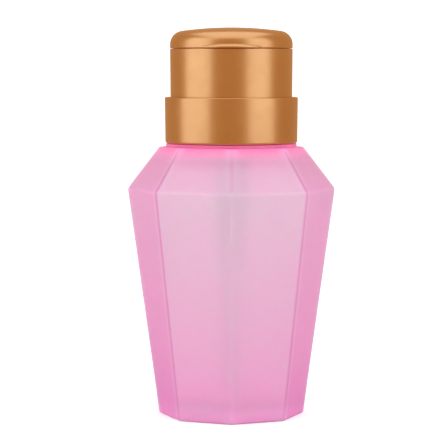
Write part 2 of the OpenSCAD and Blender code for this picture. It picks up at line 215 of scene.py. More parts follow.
def pick_edges(obj, test):
    """In edit mode: selects the edges whose two ends, in millimetres, pass the test together."""
    bpy.ops.mesh.select_mode(type="EDGE")
    bpy.ops.mesh.select_all(action="DESELECT")
    bpy.ops.object.mode_set(mode="OBJECT")
    count = 0
    for edge in obj.data.edges:
        a, b = [obj.data.vertices[i].co / MM for i in edge.vertices]
        edge.select = test(a, b)
        count += edge.select
    bpy.ops.object.mode_set(mode="EDIT")
    return count


# %% [markdown]
# ## The bottle
# The real bottle is blown from one tube of plastic, so its wall is the same all over, its corners are
# softly rounded, and its foot is pushed up so that it stands on a rim. It could be an eight-sided
# cylinder with its ends scaled, but its shoulder has to meet a round neck. So it starts as a circle of
# 64 points that stands as an octagon: each ring drawn up from it keeps 64 points, and a ring can then
# be made round where the neck begins.

# %% Draw the bottle's outside
foot_r, belt_r, shoulder_r, step_r, neck_r = 24.6, 35.1, 24.4, 22.0, 15.0
belt_z, shoulder_z, lip_z = 76.5, 90.5, 102.5
step_z = shoulder_z + 1.2
wall = 1.2

clear_selection()
bpy.ops.mesh.primitive_circle_add(vertices=8, radius=foot_r * MM, location=(0, 0, 0))
bottle = bpy.context.object
bpy.ops.object.mode_set(mode="EDIT")
bpy.ops.mesh.select_all(action="SELECT")
bpy.ops.mesh.subdivide(number_cuts=7)


def next_ring(z_from, z_to, scale):
    bpy.ops.mesh.extrude_region_move(TRANSFORM_OT_translate={"value": (0, 0, (z_to - z_from) * MM)})
    bpy.ops.transform.resize(value=(scale, scale, 1), center_override=(0, 0, z_to * MM))


next_ring(0, belt_z, belt_r / foot_r)
next_ring(belt_z, shoulder_z, shoulder_r / belt_r)


def round_off(z):
    """Makes the selected ring round, and returns its radius."""
    bpy.ops.transform.tosphere(value=1, center_override=(0, 0, z * MM))
    bpy.ops.object.mode_set(mode="OBJECT")
    reach = [v.co.xy.length / MM for v in bottle.data.vertices if v.select]
    bpy.ops.object.mode_set(mode="EDIT")
    return sum(reach) / len(reach)


next_ring(shoulder_z, shoulder_z, 1)
r, z = round_off(shoulder_z), shoulder_z
bpy.ops.transform.resize(value=(step_r / r, step_r / r, 1), center_override=(0, 0, z * MM))
r = step_r
print(f"the shoulder's octagon closes on a circle of {r:.2f} mm")
neck_rings = [(step_r - 0.05, step_z - 0.15), (step_r - 0.2, step_z), (neck_r + 0.6, step_z),
              (neck_r, step_z + 0.6), (neck_r, 96), (neck_r, lip_z - 0.4), (neck_r - 0.3, lip_z)]
for r_next, z_next in neck_rings:
    next_ring(z, z_next, r_next / r)
    r, z = r_next, z_next

# %% Push the foot up
pick_points(bottle, lambda x, y, z: z < 0.01)
next_ring(0, 0, 19.5 / foot_r)
next_ring(0, 0, 17 / 19.5)
r, z = round_off(0), 0
for r_next, z_next in [(15.8, 0.7), (14.4, 1.4), (12.5, 1.85), (9, 2.0), (4, 2.0), (0.004, 2.0)]:
    next_ring(z, z_next, r_next / r)
    r, z = r_next, z_next
mend(threshold=0.01)

# %% Round the corners
def along_side(a, b):
    """An edge that runs up one of the eight corners of the body or the shoulder."""
    corner = lambda p: abs((math.degrees(math.atan2(p.y, p.x)) + 22.5) % 45 - 22.5) < 0.5
    return corner(a) and corner(b) and abs(a.z - b.z) > 10 and a.xy.length > 20


def at_height(a, b, height, low):
    """An edge of the ring at that height, and no nearer the axis than low."""
    return abs(a.z - height) < 0.02 and abs(b.z - height) < 0.02 and min(a.xy.length, b.xy.length) > low


flat_r = shoulder_r * math.cos(math.pi / 8)
print("long edges to round", pick_edges(bottle, lambda a, b: (
    along_side(a, b) or at_height(a, b, belt_z, 30) or at_height(a, b, 0, foot_r * 0.91))))
bpy.ops.mesh.bevel(offset=0.8 * MM, segments=4, profile=0.55, affect="EDGES", clamp_overlap=True)
print("shoulder edges to round", pick_edges(bottle, lambda a, b: at_height(a, b, shoulder_z, flat_r - 0.1)))
bpy.ops.mesh.bevel(offset=0.35 * MM, segments=3, profile=0.5, affect="EDGES", clamp_overlap=True)
mend(threshold=0.01)
bpy.ops.object.mode_set(mode="OBJECT")
apply_modifier(bottle, "SOLIDIFY", thickness=wall * MM, offset=-1, use_even_offset=True)
print("bottle spans", [round(d / MM, 2) for d in bottle.dimensions], "wall", wall, "mm,", len(bottle.data.polygons), "faces")

# %% [markdown]
# The thread is one small ridge wound round the neck. The Screw modifier turns and lifts the ridge's
# outline in one go, and a spin with many small lifts would give the same shape with more steps. Each
# end of a moulded thread sinks into the neck, so the last few outlines are pulled in.

# %% Wind the neck's thread
pitch = 4.23


def wound(outline, turns, z, rise, moved, sides=64):
    """A section wound round the Z axis, in millimetres. The outline is (radius, height) points round it.
    moved(turn, r, h) gives a point's new radius and height from its angle and its place in the section."""
    clear_selection()
    steps = int(sides * turns)
    bpy.ops.mesh.primitive_circle_add(vertices=len(outline), radius=MM, fill_type="NGON",
                                      rotation=(math.pi / 2, 0, 0))
    coil = bpy.context.object
    bpy.ops.object.transform_apply(rotation=True)
    for vertex, (r, h) in zip(coil.data.vertices, outline):
        vertex.co = (r * MM, 0, (z + h) * MM)
    apply_modifier(coil, "SCREW", angle=math.tau * turns, screw_offset=rise * turns * MM, steps=steps,
                   render_steps=steps, use_merge_vertices=False)
    for vertex in coil.data.vertices:
        x, y, h = vertex.co / MM
        turn = round(math.atan2(y, x), 6) % math.tau
        turn += math.tau * max(0, round((h - z) / rise - turn / math.tau))
        r = math.hypot(x, y)
        r_new, h_new = moved(turn, r, h - z - rise * turn / math.tau)
        vertex.co = (x * r_new / r * MM, y * r_new / r * MM, (z + h_new) * MM)
    clear_selection()
    bpy.context.view_layer.objects.active = coil
    coil.select_set(True)
    bpy.ops.object.mode_set(mode="EDIT")
    bpy.ops.mesh.select_all(action="SELECT")
    bpy.ops.mesh.remove_doubles(threshold=0.0005 * MM)
    bpy.ops.mesh.select_non_manifold(extend=False)
    bpy.ops.mesh.fill()
    mend(threshold=0.0005)
    bpy.ops.object.mode_set(mode="OBJECT")
    return coil


def wound_ridge(outline, turns, start, z, sink):
    """A thread's ridge, whose ends sink into the wall that it stands on, down to the radius sink."""
    def sunk(turn, r, h):
        from_end = min(turn, math.tau * turns - turn) / math.radians(28)
        depth = (1 - max(from_end, 0)) ** 1.5 if from_end < 1 else 0
        return r + (sink - r) * depth, pitch * turn / math.tau + h

    ridge = wound(outline, turns, z, pitch, sunk)
    bpy.ops.transform.rotate(value=-start, orient_axis="Z", center_override=(0, 0, 0))
    bpy.ops.object.transform_apply(rotation=True)
    return ridge


ridge = wound_ridge([(14.6, -1.05), (15.0, -0.95), (15.9, -0.45), (16.0, -0.3), (16.0, 0.3), (15.9, 0.45),
                     (15.0, 0.95), (14.6, 1.05)], 1.5, 0, shoulder_z + 3.1, 14.7)
cut_or_add(bottle, ridge, "UNION")
settle(bottle, "frosted_bottle", angle=38)
apply_modifier(bottle, "WEIGHTED_NORMAL", keep_sharp=True, weight=80)
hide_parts("bottle")
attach(bottle, "bottle")

# %% [markdown]
# ## The gold collar
# The collar is a plain moulded ring with a small rounding at its lower edge, a crisp narrow rim on top,
# and a thin wall. A cylinder with Solidify would do, but turning its outline gives each edge its own
# rounding, as a mould does.

# %% Turn the collar
cap_z, collar_r, collar_bore, collar_top = 91.8, 22.4, 20.95, 107.2
collar = turned(softened([
    (collar_bore - 0.8, cap_z, 0.15), (collar_r - 0.2, cap_z, 0.8), (collar_r, collar_top, 0.4),
    (collar_bore, collar_top, 0.3), (collar_bore, cap_z + 0.7, 0), (collar_bore - 0.8, cap_z + 0.7, 0.1)]))
settle(collar, "collar_ring", angle=50)
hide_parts("collar_shell")
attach(collar, "collar")

# %% [markdown]
# ## The press sleeve
# This is the gold barrel that slides down inside the collar. Two ears at its back carry the lid's pin,
# so the turned barrel is cut for the lid's knuckle first, and the ears are then fused on.

# %% Turn the sleeve and add its ears
head_r, seam_z = 20.6, 123.5
sleeve_bore, sleeve_foot, sleeve_top = 19.3, 103.8, 123.4
hinge_y, hinge_z = 19.6, 124.3
dish_rim_z = seam_z - 1.5
sleeve = turned(softened([
    (19.15, sleeve_foot, 0.3), (20.45, sleeve_foot, 0.3), (head_r, sleeve_top, 0.35),
    (sleeve_bore, sleeve_top, 0.25), (sleeve_bore, dish_rim_z - 2.7, 0), (18.1, dish_rim_z - 2.7, 0.1),
    (18.1, dish_rim_z - 3.7, 0.2), (19.2, dish_rim_z - 4.8, 0.3)]))
cut_or_add(sleeve, block((-3.7, 3.7), (hinge_y - 4, hinge_y + 4), (sleeve_top - 1, sleeve_top + 3)), "DIFFERENCE")
for side in (-1, 1):
    x = sorted((side * 3.7, side * 6.4))
    post = block(x, (hinge_y - 1.3, 20.45), (dish_rim_z + 0.1, hinge_z))
    apply_modifier(post, "BEVEL", width=0.2 * MM, segments=2)
    cut_or_add(sleeve, post, "UNION")
    cut_or_add(sleeve, rod(1.35, x, hinge_y, hinge_z, 0.25), "UNION")
cut_or_add(sleeve, rod(0.6, (-8, 8), hinge_y, hinge_z, 0), "DIFFERENCE")
settle(sleeve, "press_barrel", angle=40)
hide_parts("press_sleeve")
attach(sleeve, "head")

# %% [markdown]
# ## The flip lid
# The lid is a shallow dome with a rounded shoulder, hollow inside, with a ring that drops into the
# dish, a boss over the nozzle, and a crescent at the front to lift it by. The shell is turned from one
# outline, with the inside ring in it. The crescent is part of a wider disc that stands out past the
# wall at the front only, so it is made from one and cut back to the wall.

# %% Turn the lid's shell
lid_top = 130.5
lid_round, lid_rise, lid_skin = 4.5, 1.15, 1.3


def domed(r_wall, z_top, ease, steps=14):
    """A lid's section from the axis out: a shallow dome that runs smoothly into a rounded edge."""
    r_edge = r_wall - ease
    for _ in range(4):
        tilt = math.atan(2 * lid_rise / r_edge)
        r_edge = r_wall - ease + ease * math.sin(tilt)
    points = [(r_edge * k / steps, z_top - lid_rise * (k / steps) ** 2, 0) for k in range(steps + 1)]
    z_centre = z_top - lid_rise - ease * math.cos(tilt)
    for k in range(1, steps + 1):
        a = (math.pi / 2 - tilt) * (1 - k / steps)
        points.append((r_wall - ease + ease * math.cos(a), z_centre + ease * math.sin(a), 0))
    return points


outer = domed(head_r, lid_top, lid_round) + [(head_r, seam_z + 0.02, 0.3)]
inner = [(19.35, seam_z + 0.02, 0.2), (19.4, seam_z + 0.45, 0), (19.1, seam_z + 0.45, 0), (19.1, seam_z - 1, 0.25),
         (18.1, seam_z - 1, 0.25), (18.1, seam_z + 0.9, 0), (19.4, seam_z + 0.9, 0.1)]
inner += [point for point in domed(19.4, lid_top - lid_skin, lid_round - 1.2, 8)[::-1] if point[0] > 4]
inner += [(3.2, lid_top - lid_skin, 0.4), (3.2, seam_z - 0.5, 0.2), (2.2, seam_z - 0.5, 0),
          (2.2, seam_z + 2.5, 0), (0, seam_z + 2.5, 0)]
lid = turned(softened(outer + inner), closed=False)
print("lid shell", len(lid.data.polygons), "faces")

# %% Add the thumb tab and the knuckle
tab = turned(softened([(0, seam_z + 0.05, 0), (15.1, seam_z + 0.05, 0.25), (15.1, seam_z + 0.6, 0.35),
                       (13.9, seam_z + 1.45, 0.3), (0, seam_z + 1.45, 0)]), closed=False)
clear_selection()
tab.select_set(True)
bpy.context.view_layer.objects.active = tab
bpy.ops.transform.translate(value=(0, (15.1 - head_r - 1.2) * MM, 0))
bpy.ops.object.transform_apply(location=True)
cut_or_add(tab, turned([(0, seam_z - 1), (19.9, seam_z - 1), (19.9, seam_z + 3), (0, seam_z + 3)], closed=False),
           "DIFFERENCE")
cut_or_add(lid, tab, "UNION")
cut_or_add(lid, block((-6.9, 6.9), (hinge_y - 2.7, hinge_y + 3.3), (seam_z - 2, seam_z + 2.7)), "DIFFERENCE")
arm = block((-3.5, 3.5), (hinge_y - 1.6, hinge_y + 0.3), (hinge_z, seam_z + 3))
apply_modifier(arm, "BEVEL", width=0.2 * MM, segments=2)
cut_or_add(lid, arm, "UNION")
cut_or_add(lid, rod(1.35, (-3.5, 3.5), hinge_y, hinge_z, 0.25), "UNION")
cut_or_add(lid, rod(0.65, (-5, 5), hinge_y, hinge_z, 0), "DIFFERENCE")
settle(lid, "gold_lid", angle=40)
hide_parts("flip_lid")
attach(lid, "lid")

# %% [markdown]
# ## The dish, the nozzle and the soft plug
# Under the lid a shallow white bowl takes the pad. Its floor rises gently to the rim, and eight short
# drains cut in it lead spilt liquid back to the button in the middle. The drains could be drawn in the
# material, but they catch light at their edges, so they are cut.

# %% Turn the dish and cut its drains
dish_floor = seam_z - 4.3
bowl = [(17.6 - 12.6 * k / 10, dish_floor + 2 * (1 - k / 10) ** 2, 0) for k in range(11)]
dish = turned(softened(
    [(3, dish_floor - 2.6, 0), (5, dish_floor - 2.6, 0.3), (5, dish_floor - 1.2, 0.3), (11, dish_floor - 1.2, 1),
     (17.2, dish_rim_z - 2.7, 0.2), (sleeve_bore, dish_rim_z - 2.7, 0), (sleeve_bore, dish_rim_z, 0.3),
     (sleeve_bore - 1, dish_rim_z, 0.5)] + bowl
    + [(5, dish_floor + 0.7, 0.15), (1.9, dish_floor + 0.7, 0), (1.9, dish_floor + 0.68, 0), (3, dish_floor + 0.68, 0)]))
drain = block((5.4, 10.4), (-0.3, 0.3), (dish_floor - 0.35, dish_floor + 2))
apply_modifier(drain, "BEVEL", width=0.14 * MM, segments=2)
for k in range(8):
    clear_selection()
    drain.select_set(True)
    bpy.context.view_layer.objects.active = drain
    bpy.ops.object.duplicate()
    tool = bpy.context.object
    bpy.ops.transform.rotate(value=-math.radians(22.5 + 45 * k), orient_axis="Z", center_override=(0, 0, 0))
    bpy.ops.object.transform_apply(rotation=True)
    cut_or_add(dish, tool, "DIFFERENCE")
bpy.data.objects.remove(drain)
settle(dish, "pad_dish", angle=35)
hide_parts("press_dish")
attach(dish, "head")

# %% Turn the nozzle's button
nozzle_top = seam_z - 1.9
nozzle_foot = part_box("outlet_nozzle")[0][2] / MM
nozzle = turned(softened([
    (0.8, nozzle_foot, 0.05), (1.88, nozzle_foot, 0.1), (1.88, dish_floor + 0.7, 0), (4.2, dish_floor + 0.7, 0.1),
    (3.5, nozzle_top, 0.5), (1.3, nozzle_top, 0.2), (0.8, nozzle_top - 0.45, 0.2)]), sides=96)
settle(nozzle, "nozzle_button", angle=50)
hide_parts("outlet_nozzle")
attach(nozzle, "head")

# %% Turn the lid's soft plug
plug = turned(softened([
    (0, nozzle_top - 0.7, 0), (0.6, nozzle_top - 0.7, 0.25), (0.6, nozzle_top + 0.1, 0.1), (3.6, nozzle_top + 0.1, 0.25),
    (3.6, seam_z - 0.5, 0.25), (2.2, seam_z - 0.5, 0), (2.2, seam_z + 2.5, 0), (0, seam_z + 2.5, 0)]),
    sides=96, closed=False)
settle(plug, "soft_plug", angle=50)
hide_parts("lid_seal")
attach(plug, "lid")

# %% Make the hinge pin
pin = rod(0.6, (-6.4, 6.4), hinge_y, hinge_z, 0.15)
settle(pin, "lid_pin", angle=50)
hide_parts("hinge_pin")
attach(pin, "head")

# %% [markdown]
# ## The parts that come out with the pump
# When the collar is unscrewed, the whole pump lifts out of the neck: a white screw cap under the gold,
# a foam washer, the pump's body with four webs under its flange, and the suction tube. They are
# turned too. The body and the tube are painted dark grey, a painted shade that makes them show as a dark
# blur through the frosted wall. The tube's end is cut at a slant, as on the real one, so that it can't
# seal itself on the bottle's floor.

# %% Turn the screw cap and wind its inner thread
cap_top, cap_bore, cap_sleeve = 106.2, 16.35, 18.2
flange_z, flange_top = 103.5, 104.7
cap = turned(softened([
    (cap_bore, cap_z, 0.2), (cap_sleeve, cap_z, 0.2), (cap_sleeve, cap_z + 0.7, 0), (collar_bore, cap_z + 0.7, 0.15),
    (collar_bore, cap_z + 1.9, 0.3), (cap_sleeve, cap_z + 1.9, 0.4), (cap_sleeve, cap_top, 0.6), (7, cap_top, 0.3),
    (7, flange_top, 0.2), (cap_bore, flange_top, 0.3)]))
first_turn = 0.25
inner_start = shoulder_z + 3.1 - pitch / 2 + 0.6 + pitch * first_turn
inner_ridge = wound_ridge([(16.75, -0.98), (16.35, -0.92), (15.4, -0.42), (15.3, -0.28), (15.3, 0.28), (15.4, 0.42),
                           (16.35, 0.92), (16.75, 0.98)], 1.25, math.tau * first_turn, inner_start, 16.6)
cut_or_add(cap, inner_ridge, "UNION")
settle(cap, "threaded_cap", angle=45)
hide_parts("screw_cap")
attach(cap, "collar")

# %% Turn the foam washer
washer = turned(softened([(12, lip_z, 0.25), (15.2, lip_z, 0.25), (15.2, flange_z, 0.25), (12, flange_z, 0.25)]))
settle(washer, "foam_washer", angle=50)
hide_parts("neck_gasket")
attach(washer, "gasket")

# %% Turn the pump's body and add its webs
barrel_r, throat_r, step_height, body_foot = 5.6, 3.8, 70, 54
body = turned(softened([
    (4.6, flange_top, 0), (14.8, flange_top, 0.3), (14.8, flange_z, 0.3), (barrel_r, flange_z, 0.4),
    (barrel_r, step_height - 1, 0.8), (throat_r, step_height - 3, 0.8), (throat_r, body_foot, 0.3), (2.5, body_foot, 0.15),
    (2.5, body_foot + 6, 0), (1.4, body_foot + 6, 0), (1.4, body_foot + 7.5, 0), (2.6, body_foot + 8.5, 0),
    (2.6, step_height, 0), (4.6, step_height, 0)]), sides=96)
for side in (-1, 1):
    for x, y in (((side * 5.2, side * 8.6), (-0.5, 0.5)), ((-0.5, 0.5), (side * 5.2, side * 8.6))):
        web = block(sorted(x), sorted(y), (flange_z - 4, flange_z + 0.2))
        apply_modifier(web, "BEVEL", width=0.15 * MM, segments=2)
        cut_or_add(body, web, "UNION")
settle(body, "pump_body", angle=40)
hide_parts("pump_housing")
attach(body, "pump")

# %% Turn the suction tube and cut its end
tube_low, tube_r = 5.6, 2.5
tube = turned(softened([(1.75, tube_low, 0), (tube_r, tube_low, 0), (tube_r, body_foot + 6, 0.2),
                        (1.75, body_foot + 6, 0.2)]), sides=64)
clear_selection()
slant_size = 20
offset = [-slant_size / 2 * math.sin(math.radians(30)), 0, tube_low + tube_r - slant_size / 2 * math.cos(math.radians(30))]
bpy.ops.mesh.primitive_cube_add(size=slant_size * MM, location=[c * MM for c in offset], rotation=(0, math.radians(30), 0))
cut_or_add(tube, bpy.context.object, "DIFFERENCE")
settle(tube, "suction_tube", angle=40)
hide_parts("dip_tube")
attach(tube, "pump")

# %% [markdown]
# ## The return spring
# The spring is wound as the threads are, from one round section. Its first and last turns lie closed,
# wire against wire, and the open turns between them share the rest of its height. It stands on the cage
# in the pump's body and rides with the pump as one fixed shape; the real spring shortens towards the cage as the head
# goes down.

# %% Wind the return spring
wire_r, coil_r, coil_turns, closed = 0.35, 3.3, 7, 0.12
coil_low, coil_high = step_height + 1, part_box("piston")[0][2] / MM
free_rise = coil_high - coil_low - 2 * wire_r


def coil_point(turn, r, h):
    """Closed turns at both ends, one wire's thickness each, and open ones between."""
    share = turn / (math.tau * coil_turns)
    if share < closed:
        lift = 2 * wire_r * share / closed
    elif share > 1 - closed:
        lift = free_rise - 2 * wire_r * (1 - share) / closed
    else:
        lift = 2 * wire_r + (free_rise - 4 * wire_r) * (share - closed) / (1 - 2 * closed)
    return r, lift + h


wire = [math.tau * k / 12 for k in range(12)]
spring = wound([(coil_r + wire_r * math.cos(a), wire_r * math.sin(a)) for a in wire], coil_turns,
               coil_low + wire_r, free_rise / coil_turns, coil_point, sides=48)
settle(spring, "return_coil", angle=50)
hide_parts("return_spring")
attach(spring, "pump")
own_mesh(spring)

# %% [markdown]
# ## Materials
# Each finish is a Principled surface whose colour, roughness and bump come from small node patterns on
# Object coordinates, which stay with a piece when it moves. Anything the same all over is set on the
# shader's own socket.

# %% Helpers for materials
def new_finish(name, **sockets):
    material = bpy.data.materials.new(name)
    material.use_nodes = True
    nodes = material.node_tree.nodes
    shader = next(n for n in nodes if n.type == "BSDF_PRINCIPLED")
    for key, value in sockets.items():
        shader.inputs[key.replace("_", " ")].default_value = value
    return material, shader


def add_node(material, kind, settings=(), **sockets):
    """One node, with its settings and its unlinked inputs. A socket in sockets links instead."""
    node = material.node_tree.nodes.new(kind)
    for key, value in dict(settings).items():
        setattr(node, key, value)
    for key, value in sockets.items():
        slot_in = node.inputs[int(key[1:])] if key[0] == "i" and key[1:].isdigit() else node.inputs[key.replace("_", " ")]
        if isinstance(value, bpy.types.NodeSocket):
            material.node_tree.links.new(value, slot_in)
        else:
            slot_in.default_value = value
    return node


def link(material, source, target):
    material.node_tree.links.new(source, target)


def object_place(material):
    return add_node(material, "ShaderNodeTexCoord").outputs["Object"]


def noise(material, place, scale, detail=3.0, stretch=(1, 1, 1), roughness=0.5):
    if stretch != (1, 1, 1):
        place = add_node(material, "ShaderNodeMapping", Vector=place, Scale=stretch).outputs[0]
    return add_node(material, "ShaderNodeTexNoise", Vector=place, Scale=scale, Detail=detail,
                    Roughness=roughness).outputs["Fac"]


def between(material, value, low, high, to_low, to_high):
    return add_node(material, "ShaderNodeMapRange", Value=value, i1=low, i2=high, i3=to_low, i4=to_high).outputs[0]


def ramp(material, value, stops):
    node = add_node(material, "ShaderNodeValToRGB", Fac=value)
    elements = node.color_ramp.elements
    while len(elements) < len(stops):
        elements.new(0.5)
    for element, (place, colour) in zip(elements, stops):
        element.position = place
        element.color = (*colour, 1)
    return node.outputs[0]


def bump(material, height, distance, strength=1.0, normal=None):
    extra = {"Normal": normal} if normal else {}
    return add_node(material, "ShaderNodeBump", Height=height, Distance=distance, Strength=strength, **extra).outputs[0]


# %% [markdown]
# The gold is a thin metal coat under a clear satin lacquer. The metal's colour shifts a little from
# place to place, the lacquer has a faint orange-peel ripple about a millimetre across, and a much finer
# grain spreads the highlights. A mirror-like gold would look like jewellery and not like this coat.

# %% Satin gold
gold, shader = new_finish("satin_gold", Metallic=1.0, Coat_Weight=1.0, Coat_Roughness=0.25, Coat_IOR=1.65)
place = object_place(gold)
tint = noise(gold, place, 45, 3)
link(gold, ramp(gold, tint, [(0.3, (0.66, 0.405, 0.178)), (0.7, (0.71, 0.447, 0.20))]), shader.inputs["Base Color"])
link(gold, between(gold, noise(gold, place, 220, 2), 0.3, 0.7, 0.30, 0.37), shader.inputs["Roughness"])
peel = bump(gold, noise(gold, place, 900, 2), 0.006 * MM)
grain = bump(gold, noise(gold, place, 9000, 2), 0.0015 * MM, normal=peel)
link(gold, grain, shader.inputs["Normal"])

# %% [markdown]
# ## The frosted pink
# The bottle is clear plastic with a little pink in it, blown with a matt skin. Light from behind comes
# through it, spread so wide that only a grey blur of the pump is seen. Where the eye meets the wall at a
# slant the way through the plastic is longer, and the pink is stronger, so the tint follows the angle of
# view. A real absorbing volume would do this too, but it needs many more samples, and few viewers can show it.
# The tint also changes with height: it is a deeper pink towards the foot, the shoulder is painted lighter
# where light falls on it, and the top of the shoulder under the collar is painted a hot pink glow that
# stands for light carried along the wall.

# %% Frosted pink
frost, shader = new_finish("frosted_pink", IOR=1.32, Transmission_Weight=0.62, Subsurface_Weight=1.0,
                           Subsurface_Scale=0.003)
shader.inputs["Subsurface Radius"].default_value = (1.0, 0.5, 0.75)
place = object_place(frost)
height = add_node(frost, "ShaderNodeSeparateXYZ", Vector=place).outputs["Z"]
rise = between(frost, height, 0.0, lip_z * MM, 0.0, 1.0)
# Colour stops by height in millimetres. The stops from 72 to 86 mm paint light onto the shoulder, and those from 87 to
# 92 mm paint a glow under the collar; the lowest ones make the pink deeper at the foot.
front_colours_painted_light = [(0, (1.0, 0.34, 0.60)), (4.5, (0.93, 0.49, 0.71)), (18, (0.865, 0.525, 0.70)), (36, (0.83, 0.558, 0.70)),
          (74, (0.825, 0.63, 0.725)), (83, (0.835, 0.60, 0.71)), (87.3, (0.82, 0.45, 0.61)), (90.5, (1.0, 0.19, 0.41)),
          (91, (1.0, 0.14, 0.30)), (92, (1.0, 0.17, 0.34)), (94, (0.90, 0.50, 0.66))]
slant_colours_painted_light = [(0, (1.0, 0.28, 0.60)), (4.5, (1.0, 0.34, 0.68)), (18, (1.0, 0.38, 0.68)), (41, (1.0, 0.42, 0.685)),
            (72, (0.98, 0.465, 0.70)), (86.5, (0.98, 0.42, 0.65)), (90.5, (1.0, 0.20, 0.42)), (91, (1.0, 0.14, 0.30)), (92, (1.0, 0.17, 0.34)),
            (94, (0.95, 0.45, 0.62))]
front_colours_painted_light, slant_colours_painted_light = [[(z / lip_z, colour) for z, colour in stops] for stops in (front_colours_painted_light, slant_colours_painted_light)]
slant = add_node(frost, "ShaderNodeLayerWeight", Blend=0.5).outputs["Facing"]
front_tint_painted_light = ramp(frost, rise, front_colours_painted_light)
slant_tint_painted_light = ramp(frost, rise, slant_colours_painted_light)
skin = add_node(frost, "ShaderNodeMixRGB", i0=between(frost, slant, 0.08, 0.6, 0.0, 1.0), i1=front_tint_painted_light,
                i2=slant_tint_painted_light).outputs[0]

# %% [markdown]
# A darker line is painted along each corner and a lighter one next to it, only where the wall is seen at a
# slant: painted shade and a painted highlight of the rounded corner. The distance to the nearest of the
# eight corners comes from the angle round the axis, folded eight times.

# %% Painted shade and highlight along the corners
flat = add_node(frost, "ShaderNodeVectorMath", {"operation": "MULTIPLY"}, i0=place, i1=(1, 1, 0)).outputs[0]
reach = add_node(frost, "ShaderNodeVectorMath", {"operation": "LENGTH"}, i0=flat).outputs["Value"]
split = add_node(frost, "ShaderNodeSeparateXYZ", Vector=place)
turn = add_node(frost, "ShaderNodeMath", {"operation": "ARCTAN2"}, i0=split.outputs["Y"], i1=split.outputs["X"]).outputs[0]
eighth = add_node(frost, "ShaderNodeMath", {"operation": "DIVIDE"}, i0=turn, i1=math.pi / 4).outputs[0]
fold = add_node(frost, "ShaderNodeMath", {"operation": "PINGPONG"}, i0=eighth, i1=0.5).outputs[0]
from_corner = add_node(frost, "ShaderNodeMath", {"operation": "MULTIPLY"}, i0=fold, i1=reach).outputs[0]
fold_mm = MM / (math.pi / 4)
at_corner = between(frost, from_corner, 0.3 * fold_mm, 0.85 * fold_mm, 1.0, 0.0)
beside_corner = between(frost, from_corner, 1.0 * fold_mm, 3.0 * fold_mm, 1.0, 0.0)
below_neck = between(frost, height, (shoulder_z - 0.2) * MM, (shoulder_z + 0.1) * MM, 1.0, 0.0)
slanted = add_node(frost, "ShaderNodeMath", {"operation": "MULTIPLY"}, i0=between(frost, slant, 0.12, 0.28, 0.06, 1.0),
                   i1=below_neck).outputs[0]
# Painted shade on each corner and a painted highlight beside it, both faded out where the wall faces the eye and above
# the shoulder.
painted_corner_shade = add_node(frost, "ShaderNodeMath", {"operation": "MULTIPLY"}, i0=at_corner, i1=slanted).outputs[0]
painted_corner_highlight = add_node(frost, "ShaderNodeMath", {"operation": "MULTIPLY"}, i0=beside_corner, i1=slanted).outputs[0]
with_corner_highlight = add_node(frost, "ShaderNodeMixRGB", i0=between(frost, painted_corner_highlight, 0.0, 1.0, 0.0, 0.22), i1=skin,
                 i2=(1.0, 0.86, 0.94, 1)).outputs[0]
with_corner_shade = add_node(frost, "ShaderNodeMixRGB", i0=between(frost, painted_corner_shade, 0.0, 1.0, 0.0, 0.75), i1=with_corner_highlight,
                 i2=(0.76, 0.24, 0.50, 1)).outputs[0]
link(frost, with_corner_shade, shader.inputs["Base Color"])
clear_stops = [(0, 0.25), (5.5, 0.54), (86.5, 0.54), (90.5, 0.12), (92, 0.12), (94, 0.45)]
clear = ramp(frost, rise, [(z / lip_z, (share,) * 3) for z, share in clear_stops])
link(frost, clear, shader.inputs["Transmission Weight"])
link(frost, between(frost, noise(frost, place, 300, 3), 0.3, 0.7, 0.32, 0.40), shader.inputs["Roughness"])
wave = bump(frost, noise(frost, place, 60, 2), 0.05 * MM)
link(frost, bump(frost, noise(frost, place, 2500, 2), 0.004 * MM, normal=wave), shader.inputs["Normal"])

# %% White moulded plastic, soft seals and steel
white, shader = new_finish("natural_plastic", Subsurface_Weight=0.25, Subsurface_Scale=0.001, IOR=1.49)
place = object_place(white)
link(white, ramp(white, noise(white, place, 70, 3), [(0.3, (0.60, 0.60, 0.585)), (0.7, (0.66, 0.66, 0.648))]),
     shader.inputs["Base Color"])
link(white, between(white, noise(white, place, 500, 3), 0.3, 0.7, 0.34, 0.46), shader.inputs["Roughness"])
link(white, bump(white, noise(white, place, 1800, 2), 0.004 * MM), shader.inputs["Normal"])

# A dark grey copy of the white plastic: painted shade for the parts inside the bottle, so that they show as a dark blur
# through the frosted wall.
grey_shaded_plastic, shader = new_finish("white_plastic_shaded_grey", Subsurface_Weight=0.2, Subsurface_Scale=0.001, IOR=1.49)
place = object_place(grey_shaded_plastic)
link(grey_shaded_plastic, ramp(grey_shaded_plastic, noise(grey_shaded_plastic, place, 70, 3), [(0.3, (0.17, 0.175, 0.18)), (0.7, (0.21, 0.215, 0.22))]),
     shader.inputs["Base Color"])
link(grey_shaded_plastic, between(grey_shaded_plastic, noise(grey_shaded_plastic, place, 500, 3), 0.3, 0.7, 0.38, 0.5), shader.inputs["Roughness"])
link(grey_shaded_plastic, bump(grey_shaded_plastic, noise(grey_shaded_plastic, place, 1800, 2), 0.004 * MM), shader.inputs["Normal"])

seal, shader = new_finish("soft_seal", IOR=1.45)
place = object_place(seal)
link(seal, ramp(seal, noise(seal, place, 300, 4), [(0.3, (0.46, 0.46, 0.45)), (0.7, (0.56, 0.56, 0.545))]),
     shader.inputs["Base Color"])
link(seal, between(seal, noise(seal, place, 900, 3), 0.3, 0.7, 0.55, 0.75), shader.inputs["Roughness"])
link(seal, bump(seal, noise(seal, place, 2500, 4), 0.02 * MM), shader.inputs["Normal"])

steel, shader = new_finish("polished_steel", Metallic=1.0)
place = object_place(steel)
link(steel, ramp(steel, noise(steel, place, 200, 3), [(0.3, (0.60, 0.61, 0.63)), (0.7, (0.70, 0.71, 0.73))]),
     shader.inputs["Base Color"])
link(steel, between(steel, noise(steel, place, 1500, 3, (1, 1, 0.1)), 0.3, 0.7, 0.12, 0.24), shader.inputs["Roughness"])
link(steel, bump(steel, noise(steel, place, 4000, 2), 0.001 * MM), shader.inputs["Normal"])


